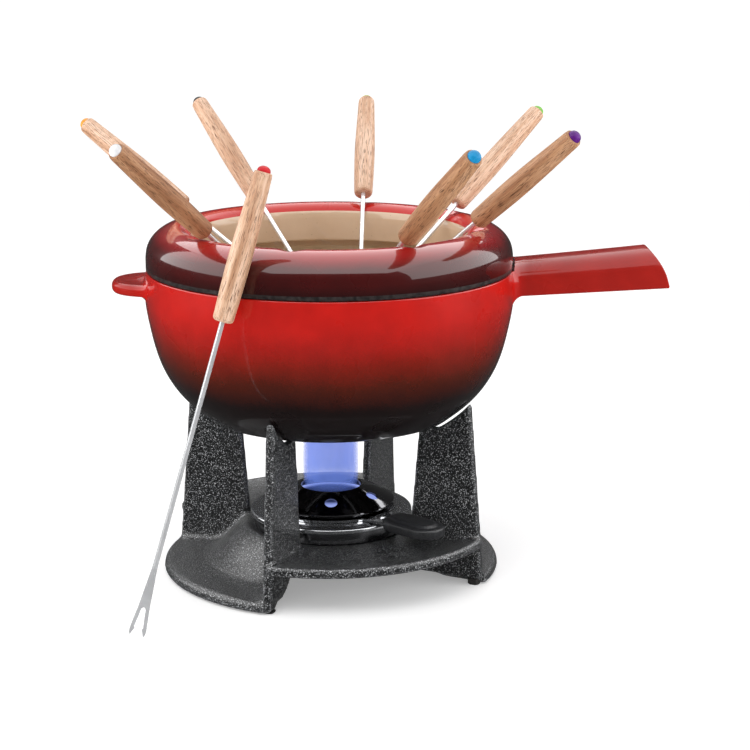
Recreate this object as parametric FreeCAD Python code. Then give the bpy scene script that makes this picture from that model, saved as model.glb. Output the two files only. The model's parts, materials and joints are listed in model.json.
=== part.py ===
import FreeCAD, Part

import math
import os

from FreeCAD import Vector

# Fondue set: enamelled iron pot, fork-rest ring, forks, cast stand and paste burner.
# Millimetres. The origin is on the table, on the axis that the stand, burner and pot share.
# +X points along the pot's long handle, -Y is the front, +Z is up.

# ---- driving dimensions ---------------------------------------------------------------------
FIT_GAP = 0.3            # air between pieces that lift apart

# Stand
BLADE_AZIMUTHS = (-112.0, -26.0, 66.0, 160.0)
BLADE_THICKNESS = 6.0
BLADE_EDGE_ROUND = 1.6
BLADE_FOOT_R = 107.0     # outer edge of a blade at the table
BLADE_TIP_R = 97.5       # outer edge of a blade at its tip
BLADE_TIP_Z = 118.5
BLADE_INNER_TOP_R = 63.0
BLADE_INNER_LOW_R = 57.0
RIB_Z = 4.0              # underside of the web that crosses the stand
RIB_INNER_R = 20.0
PLATFORM_R = 107.0
PLATFORM_Z = 29.0        # platform beside the burner
RECESS_R = 51.5
RECESS_Z = 27.0
HUB_MID_Z = 24.6         # inside the thickness of the hub plate
FLOOR_PLATE_R = 109.0
FLOOR_PLATE_Z = 7.5
GLIDE_R = 4.0
GLIDE_AT_R = 101.0

# Burner
BASE_R = 50.0
BASE_Z = RECESS_Z + FIT_GAP
BASE_HEIGHT = 10.0
SHEET = 1.2              # sheet metal of the burner
TIN_R = 38.0
PLATE_RIM_R = 52.5
PLATE_RISE = 2.4         # top of the saucer over the cup's edge
DOME_FLANGE_R = 41.0
DOME_FLANGE_Z = 43.4
COLLAR_R = 35.6          # the regulator turns around this collar
MOUTH_R = 19.6
MOUTH_Z = 54.0
DOME_HOLE_R = 4.0
DOME_HOLE_AT_R = 30.5
DOME_HOLES = 6
ARM_AZIMUTH = -45.0
GRIP_START_R = 53.4
GRIP_LENGTH = 42.0
GRIP_WIDTH = 25.0
GRIP_THICKNESS = 6.0

# Pot
SEAT_Z = 100.2           # top of the stand's seats
POT_Z = SEAT_Z + FIT_GAP
POT_RIM_R = 116.0
POT_RIM_Z = 197.0
POT_WALL = 4.0
POT_FOOT_R = 71.0
POT_FLOOR_Z = 105.6      # inside
POT_BELLY = ((78.0, 103.0), (93.8, 116.4), (106.9, 136.2), (114.4, 162.5), (117.0, 183.0),
             (POT_RIM_R, 196.0))
HANDLE_WIDTH = 44.0
HANDLE_ROOT_X = 104.0
HANDLE_CREST_END_X = 203.0
HANDLE_FOOT_END_X = 213.5
HANDLE_WALL = 5.0
EAR_TIP_X = -138.0
EAR_Z = (182.5, 190.0)

# Fork-rest ring
RING_R = 116.0
RING_Z = POT_RIM_Z + FIT_GAP
RING_TOP_Z = 224.5
RING_LIP_R = 86.0
RING_WALL = 3.6
NOTCHES = 8
NOTCH_AZIMUTH = -13.5
NOTCH_RADIUS = 15.0
NOTCH_DEPTH = 1.6

# Forks
ROD_R = 1.5
ROD_SEAT = 22.0          # length of rod inside the handle
ROD_REACH = 192.5        # from the handle to the points of the tines
HANDLE_LENGTH = 89.5
FORK_REST_R = 87.0       # where a rod crosses the ring's lip
FORK_REST_Z = 223.0
CAP_R = 4.0
CAP_DEPTH = 6.0
CAP_DOME = 3.6
TINE_HEAD = 43.0
# colour, azimuth of its notch, azimuth and elevation it leans to, bare rod outside the lip
LEANING_FORKS = (
    ("blue", -61.5, -60.5, 38.0, 10.0),
    ("purple", -18.0, -40.5, 38.9, 13.5),
    ("green", 29.0, 36.5, 38.5, 11.5),
    ("yellow", 75.0, 87.0, 39.0, 11.5),
    ("black", 120.0, 126.0, 39.5, 12.5),
    ("orange", 161.5, 151.0, 33.0, 15.5),
    ("white", 217.0, 229.0, 38.0, 10.0),
)
RED_POINTS = Vector(-115.0, -136.5, 1.9)   # tine points of the fork that leans outside
RED_CAP = Vector(-36.6, -102.0, 274.4)

AXIS = Vector(0, 0, 1)
FRONT = Vector(0, -1, 0)
ORIGIN = Vector(0, 0, 0)


# ---- helpers --------------------------------------------------------------------------------
def section(*runs):
    """A closed face in the XZ plane. A run of two points is a line, a longer one a curve."""
    edges = []
    for run in runs:
        points = [Vector(r, 0, z) for r, z in run]
        if len(points) == 2:
            edges.append(Part.makeLine(*points))
        else:
            curve = Part.BSplineCurve()
            curve.interpolate(points)
            edges.append(curve.toShape())
    return Part.Face(Part.Wire(edges))


def polygon(points):
    """A closed face in the XZ plane with straight sides."""
    corners = [Vector(r, 0, z) for r, z in points]
    return Part.Face(Part.makePolygon(corners + corners[:1]))


def turned(face, start=0.0, sweep=360.0):
    """The face turned about the vertical axis, from one azimuth through an angle."""
    solid = face.revolve(ORIGIN, AXIS, sweep)
    solid.rotate(ORIGIN, AXIS, start)
    return solid


def ring_of(inner_r, outer_r, low_z, high_z):
    """A flat ring with square edges."""
    outer = Part.makeCylinder(outer_r, high_z - low_z, Vector(0, 0, low_z))
    return outer.cut(Part.makeCylinder(inner_r, high_z - low_z, Vector(0, 0, low_z)))


def offset_curve(points, distance, samples=9):
    """Points beside a curve through the given points, moved towards its left side."""
    curve = Part.BSplineCurve()
    curve.interpolate([Vector(r, 0, z) for r, z in points])
    first, last = curve.FirstParameter, curve.LastParameter
    moved = []
    for i in range(samples):
        at = first + (last - first) * i / (samples - 1)
        along = curve.tangent(at)[0]
        spot = curve.value(at)
        moved.append((spot.x - along.z * distance, spot.z + along.x * distance))
    return moved


def at_azimuth(shape, azimuth):
    shape = shape.copy()
    shape.rotate(ORIGIN, AXIS, azimuth)
    return shape


def fused(shapes):
    return shapes[0].multiFuse(shapes[1:]).removeSplitter()


def one_solid(shape):
    """The shape's only solid."""
    if len(shape.Solids) != 1:
        raise ValueError(f"{len(shape.Solids)} solids where one is meant")
    return shape.Solids[0]


def save(name, shape):
    shape.exportStep(f"parts/{name}.step")
    box = shape.BoundBox
    print(f"{name}: {len(shape.Solids)} solid(s), {shape.Volume / 1000:.2f} cm3,"
          f" valid {shape.isValid()}, z {box.ZMin:.1f} to {box.ZMax:.1f}")


# ---- stand ----------------------------------------------------------------------------------
def blade(azimuth, full_depth):
    """One upright fin of the stand. A full-depth one has a web that runs in under the platform."""
    seat = [(BLADE_INNER_TOP_R, SEAT_Z), (76.0, SEAT_Z)]
    cradle = [(76.0, SEAT_Z), (85.5, 107.0), (92.0, 112.6), (BLADE_TIP_R, BLADE_TIP_Z)]
    inner_low = (BLADE_INNER_LOW_R, PLATFORM_Z)
    if full_depth:
        foot_corner = (BLADE_FOOT_R, RIB_Z)
        foot = [[foot_corner, (RIB_INNER_R, RIB_Z)],
                [(RIB_INNER_R, RIB_Z), (RIB_INNER_R, HUB_MID_Z)],
                [(RIB_INNER_R, HUB_MID_Z), (BLADE_INNER_LOW_R, HUB_MID_Z)],
                [(BLADE_INNER_LOW_R, HUB_MID_Z), inner_low]]
    else:
        foot_corner = (BLADE_FOOT_R, 1.0)
        foot = [[foot_corner, (97.0, 1.0)],
                [(97.0, 1.0), (91.0, 5.6), (83.0, 8.4), (76.0, 13.0), (66.0, 25.5)],
                [(66.0, 25.5), inner_low]]
    face = section(seat, cradle, [(BLADE_TIP_R, BLADE_TIP_Z), foot_corner], *foot,
                   [inner_low, (BLADE_INNER_TOP_R, SEAT_Z)])
    face.translate(Vector(0, -BLADE_THICKNESS / 2, 0))
    solid = face.extrude(Vector(0, BLADE_THICKNESS, 0))
    rims = [edge for edge in solid.Edges
            if abs(abs(edge.CenterOfMass.y) - BLADE_THICKNESS / 2) < 0.01]
    solid = solid.makeFillet(BLADE_EDGE_ROUND, rims)
    return at_azimuth(solid, azimuth)


def raised_section():
    """Half section of the hub and of a platform that hangs clear of the table."""
    return section(
        [(0, RECESS_Z), (RECESS_R - 1.0, RECESS_Z)],
        [(RECESS_R - 1.0, RECESS_Z), (RECESS_R + 0.3, RECESS_Z + 1.0), (54.5, PLATFORM_Z)],
        [(54.5, PLATFORM_Z), (66.0, 28.6), (84.0, 28.4), (98.0, 29.8), (103.5, 31.0)],
        [(103.5, 31.0), (106.0, 30.9), (PLATFORM_R, 29.2)],
        [(PLATFORM_R, 29.2), (PLATFORM_R, 26.4)],
        [(PLATFORM_R, 26.4), (106.2, 25.2), (104.4, 24.8)],
        [(104.4, 24.8), (0, 22.6)],
        [(0, 22.6), (0, RECESS_Z)])


def low_section():
    """Half section of the hub, the ramp down from it and the plate beside the table."""
    return section(
        [(0, RECESS_Z), (RECESS_R - 1.0, RECESS_Z)],
        [(RECESS_R - 1.0, RECESS_Z), (RECESS_R + 0.3, RECESS_Z + 1.0), (54.0, PLATFORM_Z)],
        [(54.0, PLATFORM_Z), (57.5, 27.6), (69.0, 16.4), (77.5, 9.2), (84.0, FLOOR_PLATE_Z)],
        [(84.0, FLOOR_PLATE_Z), (105.0, FLOOR_PLATE_Z)],
        [(105.0, FLOOR_PLATE_Z), (107.0, 6.9), (108.2, 5.4)],
        [(108.2, 5.4), (FLOOR_PLATE_R, 2.6)],
        [(FLOOR_PLATE_R, 2.6), (108.6, 1.4), (107.6, 1.0)],
        [(107.6, 1.0), (84.0, 1.6)],
        [(84.0, 1.6), (76.0, 3.4), (66.0, 11.6), (54.5, 22.2)],
        [(54.5, 22.2), (0, 22.6)],
        [(0, 22.6), (0, RECESS_Z)])


def stand_casting():
    pieces = [blade(azimuth, full_depth=index % 2 == 1)
              for index, azimuth in enumerate(BLADE_AZIMUTHS)]
    for index, azimuth in enumerate(BLADE_AZIMUTHS):
        following = BLADE_AZIMUTHS[(index + 1) % len(BLADE_AZIMUTHS)]
        sweep = (following - azimuth) % 360
        face = raised_section() if index % 2 == 0 else low_section()
        pieces.append(turned(face, azimuth, sweep))
    return one_solid(fused(pieces))


def stand_glides():
    """A pad under each blade. The full-depth blades stop higher, so theirs are taller."""
    casting = stand_casting()
    pads = []
    for index, azimuth in enumerate(BLADE_AZIMUTHS):
        top = RIB_Z if index % 2 == 1 else 1.0
        pad = Part.makeCone(GLIDE_R - 0.6, GLIDE_R, 0.6, Vector(GLIDE_AT_R, 0, 0))
        pad = pad.fuse(Part.makeCylinder(GLIDE_R, top - 0.6, Vector(GLIDE_AT_R, 0, 0.6)))
        width = Part.makeBox(4 * GLIDE_R, BLADE_THICKNESS, 10,
                             Vector(GLIDE_AT_R - 2 * GLIDE_R, -BLADE_THICKNESS / 2, -1))
        pad = at_azimuth(pad.common(width).removeSplitter(), azimuth)
        pads.append(one_solid(pad.cut(casting)))
    return Part.makeCompound(pads)


# ---- burner ---------------------------------------------------------------------------------
def burner_base():
    """Shallow round cup that stands in the recess."""
    top = BASE_Z + BASE_HEIGHT
    outer = section(
        [(0, BASE_Z), (BASE_R - 2.0, BASE_Z)],
        [(BASE_R - 2.0, BASE_Z), (BASE_R - 0.5, BASE_Z + 0.5), (BASE_R, BASE_Z + 2.0)],
        [(BASE_R, BASE_Z + 2.0), (BASE_R, top)],
        [(BASE_R, top), (BASE_R - SHEET, top)],
        [(BASE_R - SHEET, top), (BASE_R - SHEET, BASE_Z + SHEET)],
        [(BASE_R - SHEET, BASE_Z + SHEET), (0, BASE_Z + SHEET)],
        [(0, BASE_Z + SHEET), (0, BASE_Z)])
    return one_solid(turned(outer))


def fuel_tin():
    low = BASE_Z + SHEET
    tin = Part.makeCylinder(TIN_R, BASE_HEIGHT - SHEET - 0.5, Vector(0, 0, low))
    inside = Part.makeCylinder(TIN_R - 0.6, BASE_HEIGHT, Vector(0, 0, low + 0.6))
    bead = Part.makeTorus(TIN_R - 0.3, 0.7, Vector(0, 0, low + BASE_HEIGHT - SHEET - 1.3))
    return one_solid(fused([tin.cut(inside), bead]))


def fuel_paste():
    low = BASE_Z + SHEET + 0.6
    return Part.makeCylinder(TIN_R - 1.1, BASE_HEIGHT - SHEET - 3.0, Vector(0, 0, low))


def burner_plate():
    """Saucer that closes the cup, with a rolled rim and a wide hole over the fuel."""
    low = BASE_Z + BASE_HEIGHT
    top = low + PLATE_RISE
    inner_r = MOUTH_R + 8.0
    face = section(
        [(inner_r, top - SHEET), (43.0, top - SHEET)],
        [(43.0, top - SHEET), (47.0, low + 0.8), (BASE_R - 1.4, low)],
        [(BASE_R - 1.4, low), (BASE_R + 0.2, low)],
        [(BASE_R + 0.2, low), (BASE_R + 0.2, low - 1.6)],
        [(BASE_R + 0.2, low - 1.6), (PLATE_RIM_R - 1.0, low - 1.6)],
        [(PLATE_RIM_R - 1.0, low - 1.6), (PLATE_RIM_R, low - 0.6),
         (PLATE_RIM_R - 0.6, low + 0.8), (PLATE_RIM_R - 3.0, low + 1.5)],
        [(PLATE_RIM_R - 3.0, low + 1.5), (46.5, low + 2.1), (43.0, top)],
        [(43.0, top), (inner_r, top)],
        [(inner_r, top), (inner_r, top - SHEET)])
    return one_solid(turned(face))


def burner_dome():
    """Domed cap with a mouth for the flame and a ring of air holes, on a short collar."""
    collar_z = BASE_Z + BASE_HEIGHT + PLATE_RISE
    shoulder = [(DOME_FLANGE_R, DOME_FLANGE_Z + SHEET), (37.0, 46.8), (DOME_HOLE_AT_R, 50.0),
                (24.5, 52.6), (MOUTH_R + 1.4, MOUTH_Z)]
    under = offset_curve(shoulder, SHEET)
    face = section(
        shoulder,
        [(MOUTH_R + 1.4, MOUTH_Z), (MOUTH_R + 0.6, MOUTH_Z + 0.3), (MOUTH_R - 0.2, MOUTH_Z - 0.2)],
        [(MOUTH_R - 0.2, MOUTH_Z - 0.2), (MOUTH_R - 0.2, 50.6)],
        [(MOUTH_R - 0.2, 50.6), (MOUTH_R + 0.8, 50.6)],
        [(MOUTH_R + 0.8, 50.6), under[-1]],
        under[::-1],
        [under[0], (DOME_FLANGE_R - 0.4, DOME_FLANGE_Z)],
        [(DOME_FLANGE_R - 0.4, DOME_FLANGE_Z), (DOME_FLANGE_R, DOME_FLANGE_Z + SHEET)])
    dome = turned(face)
    for index in range(DOME_HOLES):
        drill = Part.makeCylinder(DOME_HOLE_R, 14.0, Vector(0, 0, -7.0))
        drill.rotate(ORIGIN, Vector(0, 1, 0), 31.0)
        drill.translate(Vector(DOME_HOLE_AT_R, 0, 49.4))
        dome = dome.cut(at_azimuth(drill, -90.0 + index * 360.0 / DOME_HOLES))
    collar = ring_of(COLLAR_R - SHEET, COLLAR_R, collar_z, 47.2)
    return one_solid(dome.fuse(collar).removeSplitter())


def regulator_ring():
    """Turning ring around the dome's collar, with a forked arm to the grip."""
    low = BASE_Z + BASE_HEIGHT + PLATE_RISE + FIT_GAP
    high = low + 1.6
    ring = ring_of(COLLAR_R + 0.06, DOME_FLANGE_R + 1.4, low, high)
    arms = []
    for side in (-1, 1):
        corners = [Vector(38.0, side * 13.0, low), Vector(38.0, side * 8.5, low),
                   Vector(GRIP_START_R + 6.0, side * 5.0, low),
                   Vector(GRIP_START_R + 6.0, side * 8.5, low)]
        arm = Part.Face(Part.makePolygon(corners + corners[:1]))
        arms.append(arm.extrude(Vector(0, 0, high - low)))
    tongue = Part.makeBox(GRIP_LENGTH * 0.5, 17.0, high - low,
                          Vector(GRIP_START_R + 4.0, -8.5, low))
    hole = Part.makeCylinder(COLLAR_R + 0.06, high - low, Vector(0, 0, low))
    whole = fused([ring, *arms, tongue]).cut(hole)
    return at_azimuth(one_solid(whole), ARM_AZIMUTH)


def grip_outline(inset, z):
    """Plan of the grip: nearly parallel sides, a round end and a narrow start."""
    half = GRIP_WIDTH / 2 - inset
    start = GRIP_START_R + inset
    end = GRIP_START_R + GRIP_LENGTH - inset
    return Part.Face(Part.Wire([
        Part.makeLine(Vector(start, -half * 0.62, z), Vector(start, half * 0.62, z)),
        Part.makeLine(Vector(start, half * 0.62, z), Vector(start + 9.0, half, z)),
        Part.makeLine(Vector(start + 9.0, half, z), Vector(end - half, half, z)),
        Part.Arc(Vector(end - half, half, z), Vector(end, 0, z),
                 Vector(end - half, -half, z)).toShape(),
        Part.makeLine(Vector(end - half, -half, z), Vector(start + 9.0, -half, z)),
        Part.makeLine(Vector(start + 9.0, -half, z), Vector(start, -half * 0.62, z))]))


def regulator_grip():
    """Moulded tongue around the ring's arm, with a raised pad for the finger."""
    low = BASE_Z + BASE_HEIGHT + 0.4
    plate = grip_outline(0.0, low).extrude(Vector(0, 0, GRIP_THICKNESS))
    rims = [edge for edge in plate.Edges
            if abs(edge.CenterOfMass.z - low - GRIP_THICKNESS) < 0.01]
    plate = plate.makeFillet(1.4, rims)
    pad = grip_outline(4.5, low + GRIP_THICKNESS - 0.5).extrude(Vector(0, 0, 2.3))
    tops = [edge for edge in pad.Edges
            if abs(edge.CenterOfMass.z - low - GRIP_THICKNESS - 1.8) < 0.01]
    pad = pad.makeChamfer(1.2, tops)
    body = at_azimuth(one_solid(fused([plate, pad])), ARM_AZIMUTH)
    return one_solid(body.cut(regulator_ring()))


# ---- pot ------------------------------------------------------------------------------------
def pot_outer():
    """The belly as a filled solid, closed at the rim."""
    return turned(section(
        list(POT_BELLY),
        [(POT_RIM_R, 196.0), (POT_RIM_R - 0.4, POT_RIM_Z)],
        [(POT_RIM_R - 0.4, POT_RIM_Z), (0, POT_RIM_Z)],
        [(0, POT_RIM_Z), (0, 102.6)],
        [(0, 102.6), (76.0, 102.6)],
        [(76.0, 102.6), POT_BELLY[0]]))


def pot_inner():
    """The space inside the pot, open through the rim."""
    wall = offset_curve(POT_BELLY, POT_WALL)
    first, last = wall[0], wall[-1]
    return turned(section(
        [(0, POT_FLOOR_Z), (62.0, POT_FLOOR_Z)],
        [(62.0, POT_FLOOR_Z), (72.0, 106.4), (first[0] + 2.0, first[1] + 2.0), wall[1]],
        wall[1:],
        [last, (last[0], POT_RIM_Z + 2.0)],
        [(last[0], POT_RIM_Z + 2.0), (0, POT_RIM_Z + 2.0)],
        [(0, POT_RIM_Z + 2.0), (0, POT_FLOOR_Z)]))


def arch(x, foot_z, crest_z, half_width, lowest=None):
    """A closed section across the handle: straight flanks under a rounded crown."""
    lowest = foot_z if lowest is None else lowest
    spring_z = foot_z + 0.34 * (crest_z - foot_z)
    rise = crest_z - spring_z
    crown = [Vector(x, -half_width * math.cos(t), spring_z + rise * math.sin(t) ** 0.86)
             for t in [math.pi * step / 12 for step in range(13)]]
    curve = Part.BSplineCurve()
    curve.interpolate(crown)
    return Part.Wire([
        Part.makeLine(Vector(x, half_width, spring_z), Vector(x, half_width, lowest)),
        Part.makeLine(Vector(x, half_width, lowest), Vector(x, -half_width, lowest)),
        Part.makeLine(Vector(x, -half_width, lowest), Vector(x, -half_width, spring_z)),
        curve.toShape()])


def handle_pipe():
    """Arched pipe, open underneath, with its far end cut back at a slant."""
    half = HANDLE_WIDTH / 2
    far_x = HANDLE_FOOT_END_X + 6.0

    def foot(x):
        return 181.0 + (x - POT_RIM_R) * 0.052

    def crest(x):
        return 202.0 + (x - POT_RIM_R) * 0.081

    def half_at(x):
        return half * (0.94 + 0.06 * (x - HANDLE_ROOT_X) / (far_x - HANDLE_ROOT_X))

    xs = (HANDLE_ROOT_X, far_x)
    outer = Part.makeLoft([arch(x, foot(x), crest(x), half_at(x)) for x in xs], True, True)
    ends = (POT_RIM_R + 4.0, far_x + 1.0)
    inner = Part.makeLoft(
        [arch(x, foot(x), crest(x) - HANDLE_WALL, half_at(x) - HANDLE_WALL, foot(x) - 8.0)
         for x in ends], True, True)
    reach = 60.0
    slant = Part.Face(Part.makePolygon([
        Vector(HANDLE_FOOT_END_X, -reach, foot(HANDLE_FOOT_END_X) - 0.5),
        Vector(HANDLE_FOOT_END_X - 3.6, -reach, foot(HANDLE_FOOT_END_X) + 10.0),
        Vector(HANDLE_CREST_END_X, -reach, crest(HANDLE_CREST_END_X) - 2.0),
        Vector(HANDLE_CREST_END_X - 4.0, -reach, crest(HANDLE_CREST_END_X) + 3.0),
        Vector(far_x + 30.0, -reach, crest(HANDLE_CREST_END_X) + 30.0),
        Vector(far_x + 30.0, -reach, foot(HANDLE_FOOT_END_X) - 30.0),
        Vector(HANDLE_FOOT_END_X - 3.0, -reach, foot(HANDLE_FOOT_END_X) - 30.0),
        Vector(HANDLE_FOOT_END_X - 3.0, -reach, foot(HANDLE_FOOT_END_X) - 6.0),
        Vector(HANDLE_FOOT_END_X, -reach, foot(HANDLE_FOOT_END_X) - 0.5)]))
    return outer.cut(inner).cut(slant.extrude(Vector(0, 2 * reach, 0)))


def handle_root():
    """Boss where the handle leaves the belly, under the ring's edge."""
    far_x = POT_RIM_R + 9.0
    return Part.makeLoft([arch(POT_RIM_R - 12.0, 170.0, 196.0, 33.0),
                          arch(POT_RIM_R + 2.0, 175.5, 199.0, 25.5),
                          arch(far_x, 180.8, 201.6, HANDLE_WIDTH / 2 + 0.6)], True, False)


def ring_clearance():
    """What lies outside the belly stays out of this space, which the ring sits in."""
    return ring_of(POT_RIM_R - 30.0, RING_R + 1.2, POT_RIM_Z, POT_RIM_Z + 40.0)


def pot_handle():
    """The handle and its root. It meets the belly face to face, as part of the same casting."""
    whole = fused([handle_pipe(), handle_root()])
    return one_solid(whole.cut(pot_outer()).cut(ring_clearance()))


def ear():
    """Small flat lug opposite the handle, with sides that spread into the belly."""
    low, high = EAR_Z
    tip = EAR_TIP_X
    side = [(tip, 0.0), (tip + 2.6, -13.0), (tip + 10.0, -22.0), (tip + 17.0, -25.2),
            (tip + 24.0, -28.5), (tip + 32.0, -38.0)]
    curve = Part.BSplineCurve()
    curve.interpolate([Vector(x, -y, low) for x, y in side[:0:-1]]
                      + [Vector(x, y, low) for x, y in side])
    root = Vector(tip + 40.0, 0, low)
    wire = Part.Wire([curve.toShape(),
                      Part.makeLine(Vector(side[-1][0], side[-1][1], low),
                                    Vector(root.x, side[-1][1], low)),
                      Part.makeLine(Vector(root.x, side[-1][1], low),
                                    Vector(root.x, -side[-1][1], low)),
                      Part.makeLine(Vector(root.x, -side[-1][1], low),
                                    Vector(side[-1][0], -side[-1][1], low))])
    lug = Part.Face(wire).extrude(Vector(0, 0, high - low))
    rims = [edge for edge in lug.Edges if edge.Length > 80.0 and edge.BoundBox.ZLength < 0.01
            and edge.BoundBox.XMin < tip + 1.0]
    return lug.makeFillet(2.4, rims)


def pot_casting():
    foot = ring_of(POT_FOOT_R - 9.0, POT_FOOT_R, POT_Z, 103.4)
    body = fused([pot_outer(), foot, ear()])
    return one_solid(body.cut(pot_inner()).cut(ring_clearance()))


# ---- fork-rest ring -------------------------------------------------------------------------
def fork_rest_ring():
    """Hollow rolled ring that sits on the pot's rim. The forks lean in its notches."""
    shoulder = [(RING_R, 205.0), (114.9, 211.8), (110.8, 218.3), (104.3, 222.8),
                (97.0, RING_TOP_Z), (90.9, 223.0), (87.2, 219.6), (RING_LIP_R, 215.0)]
    under = offset_curve(shoulder, RING_WALL)
    lip_r = POT_RIM_R - POT_WALL - 1.0
    face = section(
        [(RING_R, RING_Z), (RING_R, 205.0)],
        shoulder,
        [(RING_LIP_R, 215.0), (RING_LIP_R + 1.2, 200.6)],
        [(RING_LIP_R + 1.2, 200.6), (RING_LIP_R + 2.2, 199.6), (RING_LIP_R + 3.8, 199.8)],
        [(RING_LIP_R + 3.8, 199.8), (RING_LIP_R + RING_WALL, 215.0)],
        [(RING_LIP_R + RING_WALL, 215.0), under[-2]],
        under[-2:0:-1],
        [under[1], (RING_R - RING_WALL - 0.6, 206.0)],
        [(RING_R - RING_WALL - 0.6, 206.0), (lip_r - 2.8, 203.0)],
        [(lip_r - 2.8, 203.0), (lip_r - 2.8, 192.4)],
        [(lip_r - 2.8, 192.4), (lip_r, 192.4)],
        [(lip_r, 192.4), (lip_r, RING_Z)],
        [(lip_r, RING_Z), (RING_R, RING_Z)])
    ring = turned(face)
    for index in range(NOTCHES):
        cutter = Part.makeCylinder(NOTCH_RADIUS, 26.0, Vector(0, 0, 0), Vector(1, 0, 0))
        cutter.rotate(ORIGIN, Vector(0, 1, 0), -13.0)
        cutter.translate(Vector(76.0, 0, RING_TOP_Z - NOTCH_DEPTH + NOTCH_RADIUS - 4.2))
        ring = ring.cut(at_azimuth(cutter, NOTCH_AZIMUTH + index * 360.0 / NOTCHES))
    return one_solid(ring)


# ---- forks ----------------------------------------------------------------------------------
def fork_rod():
    """Rod and two-tined head. The handle's end is at z 0 and the points are below it."""
    head_top = -(ROD_REACH - TINE_HEAD)
    rod = Part.makeCylinder(ROD_R, ROD_SEAT - head_top + 2.0, Vector(0, 0, head_top - 2.0))
    right = [(1.4, 2.0), (1.7, -3.0), (3.3, -24.0), (5.0, -39.5), (4.1, -TINE_HEAD),
             (2.2, -38.6), (2.9, -38.8), (1.5, -28.0), (0.0, -25.0)]
    outline = right + [(-x, z) for x, z in right[-2::-1]]
    head = polygon([(x, head_top + z) for x, z in outline])
    head.translate(Vector(0, -0.9, 0))
    return one_solid(fused([rod, head.extrude(Vector(0, 1.8, 0))]))


def fork_handle():
    """Turned wooden grip, thickest past its middle, with holes for the rod and the cap."""
    grip = turned(section(
        [(0, 0), (4.4, 0)],
        [(4.4, 0), (5.7, 0.7), (6.2, 2.2)],
        [(6.2, 2.2), (6.75, 22.0), (6.9, 42.0), (6.3, 65.0), (5.6, HANDLE_LENGTH - 3.0)],
        [(5.6, HANDLE_LENGTH - 3.0), (5.3, HANDLE_LENGTH - 0.8), (4.6, HANDLE_LENGTH)],
        [(4.6, HANDLE_LENGTH), (0, HANDLE_LENGTH)],
        [(0, HANDLE_LENGTH), (0, 0)]))
    rod_hole = Part.makeCylinder(ROD_R + 0.02, ROD_SEAT + 1.2, Vector(0, 0, -1.0))
    cap_hole = Part.makeCylinder(CAP_R + 0.02, CAP_DEPTH + 1.0,
                                 Vector(0, 0, HANDLE_LENGTH - CAP_DEPTH))
    return one_solid(grip.cut(rod_hole).cut(cap_hole))


def fork_cap():
    """Coloured plug with a domed head."""
    return one_solid(turned(section(
        [(0, HANDLE_LENGTH - CAP_DEPTH + 0.1), (CAP_R, HANDLE_LENGTH - CAP_DEPTH + 0.1)],
        [(CAP_R, HANDLE_LENGTH - CAP_DEPTH + 0.1), (CAP_R, HANDLE_LENGTH + 0.4)],
        [(CAP_R, HANDLE_LENGTH + 0.4), (3.7, HANDLE_LENGTH + 2.0),
         (2.3, HANDLE_LENGTH + 3.2), (0, HANDLE_LENGTH + CAP_DOME)],
        [(0, HANDLE_LENGTH + CAP_DOME), (0, HANDLE_LENGTH - CAP_DEPTH + 0.1)])))


def placed(shape, foot, along, across):
    """The fork shape with z 0 at a point, its handle along one way and its tines another."""
    third = along.cross(across)
    matrix = FreeCAD.Matrix(
        across.x, third.x, along.x, foot.x,
        across.y, third.y, along.y, foot.y,
        across.z, third.z, along.z, foot.z,
        0, 0, 0, 1)
    moved = shape.copy()
    moved.Placement = FreeCAD.Placement(matrix)
    return moved


def fork_lines():
    """Each fork's colour, where its handle begins, and the ways its handle and tines lie."""
    for colour, notch, heading, elevation, bare in LEANING_FORKS:
        notch, heading, elevation = (math.radians(a) for a in (notch, heading, elevation))
        rest = Vector(FORK_REST_R * math.cos(notch), FORK_REST_R * math.sin(notch), FORK_REST_Z)
        along = Vector(math.cos(heading) * math.cos(elevation),
                       math.sin(heading) * math.cos(elevation), math.sin(elevation))
        yield colour, rest + along * bare, along, AXIS.cross(along).normalize()
    along = (RED_CAP - RED_POINTS).normalize()
    yield "red", RED_POINTS + along * ROD_REACH, along, along.cross(FRONT).normalize()


def main():
    os.makedirs("parts", exist_ok=True)
    save("stand_casting", stand_casting())
    save("stand_glides", stand_glides())
    save("burner_base", burner_base())
    save("fuel_tin", fuel_tin())
    save("fuel_paste", fuel_paste())
    save("burner_plate", burner_plate())
    save("burner_dome", burner_dome())
    save("regulator_ring", regulator_ring())
    save("regulator_grip", regulator_grip())
    save("pot_casting", pot_casting())
    save("pot_handle", pot_handle())
    save("fork_rest_ring", fork_rest_ring())
    rod, handle, cap = fork_rod(), fork_handle(), fork_cap()
    for colour, foot, along, across in fork_lines():
        save(f"fork_rod_{colour}", placed(rod, foot, along, across))
        save(f"fork_handle_{colour}", placed(handle, foot, along, across))
        save(f"fork_cap_{colour}", placed(cap, foot, along, across))
        print(f"{colour} foot {tuple(round(v, 2) for v in foot)}"
              f" along {tuple(round(v, 5) for v in along)}")


main()
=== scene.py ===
import json
import math

import bmesh
import bpy
import numpy as np
from mathutils import Matrix, Vector


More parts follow.
